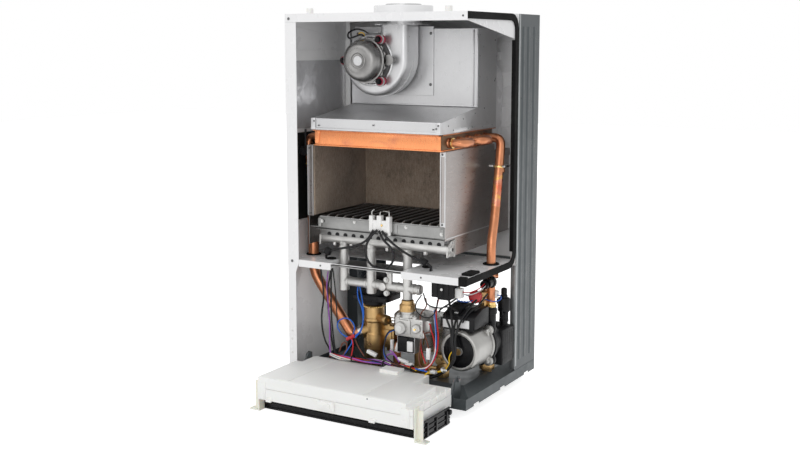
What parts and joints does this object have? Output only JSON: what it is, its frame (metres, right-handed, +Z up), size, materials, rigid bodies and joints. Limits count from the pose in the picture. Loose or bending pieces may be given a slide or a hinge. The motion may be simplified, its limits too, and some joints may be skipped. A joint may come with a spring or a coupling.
{
  "type": "combi boiler",
  "caption": "Wall-hung combi gas boiler with its cover off: flue fan, copper heat exchanger, open burner chamber, gas and water valves, pump and a fold-down control box.",
  "frame": {"origin": "on the centre line of the back pan's wall face, 600 mm above the underside of the base pan's rim", "axes": "+X to the boiler's right as seen from the front, +Y from the front into the wall, +Z up"},
  "size_m": [0.4, 0.47, 0.7685],
  "materials": {
    "white_paint": "satin powder coat",
    "galvanised": "dull galvanised sheet",
    "aluminised": "satin aluminised sheet",
    "cast_alloy": "shot-blasted die casting",
    "copper": "bright copper with heat tint",
    "brass": "dull forged brass",
    "steel": "zinc-plated steel",
    "burner_steel": "heat-darkened stainless steel",
    "fibre": "pressed ceramic fibre board",
    "ceramic_white": "glazed ceramic",
    "black_plastic": "moulded, fine grain",
    "white_plastic": "moulded, satin",
    "cream_plastic": "translucent nylon",
    "red_plastic": "moulded",
    "rubber_foam": "closed-cell foam",
    "cable_sheath": "smooth sheath",
    "circuit": "printed board",
    "grey_paint": "matt grey",
    "foil": "crumpled foil"
  },
  "bodies": {
    "chassis": {"back_pan": "galvanised", "side_panel_left": "white_paint", "top_panel": "white_paint", "divider_shelf": "white_paint", "base_pan": "galvanised", "chamber_gasket": "rubber_foam", "flue_collar": "white_paint", "flue_stub": "aluminised", "foil_liner": "foil", "fan_housing": "aluminised", "fan_motor": "steel", "fan_motor_bracket": "steel", "fan_mount_plate": "aluminised", "flue_hood": "aluminised", "heat_exchanger": "copper", "combustion_chamber": "steel", "chamber_insulation": "fibre", "burner_frame": "steel", "burner_rack": "burner_steel", "electrode_block": "ceramic_white", "gas_manifold": "cast_alloy", "manifold_plate": "steel", "gas_union_nut": "brass", "gas_valve": "cast_alloy", "gas_valve_coil": "black_plastic", "gas_inlet_pipe": "copper", "flow_pipe": "copper", "return_pipe": "copper", "pipe_clip": "steel", "overheat_thermostat": "black_plastic", "diverter_body": "brass", "diverter_actuator": "black_plastic", "plate_exchanger": "steel", "hot_water_pipe": "copper", "cold_inlet_fitting": "brass", "expansion_vessel": "grey_paint", "pump_motor": "cast_alloy", "pump_terminal_box": "black_plastic", "pump_housing": "black_plastic", "air_vent": "black_plastic", "relief_valve": "brass", "pressure_sensor": "black_plastic", "igniter_box": "black_plastic", "ignition_lead": "cable_sheath", "pump_lead": "cable_sheath", "control_harness": "cable_sheath"},
    "control_box": {"control_tray": "white_plastic", "control_lid": "white_plastic", "control_bezel": "black_plastic", "circuit_board": "circuit", "control_foot_left": "cream_plastic", "control_foot_right": "cream_plastic"},
    "fan_rotor": {"fan_impeller": "steel"},
    "pump_rotor": {"pump_impeller": "white_plastic"},
    "air_vent_cap": {"vent_cap": "black_plastic"},
    "relief_handle": {"relief_knob": "red_plastic"},
    "diverter_pin": {"diverter_spindle": "steel"},
    "heating_dial": {"knob_heating": "black_plastic"},
    "water_dial": {"knob_water": "black_plastic"},
    "reset_key": {"reset_button": "white_plastic"}
  },
  "joints": [
    {"name": "control_box_fold", "type": "hinge", "parent": "chassis", "child": "control_box", "pos_m": [0, -0.295, -0.55], "axis": [-1, 0, 0], "range_deg": [0, 90]},
    {"name": "fan_spin", "type": "hinge", "parent": "chassis", "child": "fan_rotor", "pos_m": [-0.066, -0.215, 0.04], "axis": [0, 1, 0], "continuous": true},
    {"name": "pump_spin", "type": "hinge", "parent": "chassis", "child": "pump_rotor", "pos_m": [0.158, -0.175, -0.505], "axis": [0, 1, 0], "continuous": true},
    {"name": "vent_cap_turn", "type": "hinge", "parent": "chassis", "child": "air_vent_cap", "pos_m": [0.183, -0.117, -0.42], "axis": [0, 0, 1], "range_deg": [0, 180]},
    {"name": "relief_knob_turn", "type": "hinge", "parent": "chassis", "child": "relief_handle", "pos_m": [0.168, -0.215, -0.408], "axis": [0, -1, 0], "range_deg": [0, 90]},
    {"name": "diverter_slide", "type": "slide", "parent": "chassis", "child": "diverter_pin", "axis": [0, 0, 1], "range_m": [0, 0.007]},
    {"name": "heating_dial_turn", "type": "hinge", "parent": "control_box", "child": "heating_dial", "pos_m": [-0.06, -0.393, -0.61], "axis": [0, 0, -1], "range_deg": [0, 270]},
    {"name": "water_dial_turn", "type": "hinge", "parent": "control_box", "child": "water_dial", "pos_m": [0.01, -0.393, -0.61], "axis": [0, 0, -1], "range_deg": [0, 270]},
    {"name": "reset_press", "type": "slide", "parent": "control_box", "child": "reset_key", "axis": [0, 0, 1], "range_m": [0, 0.0015], "stiffness_N_per_m": 300}
  ]
}
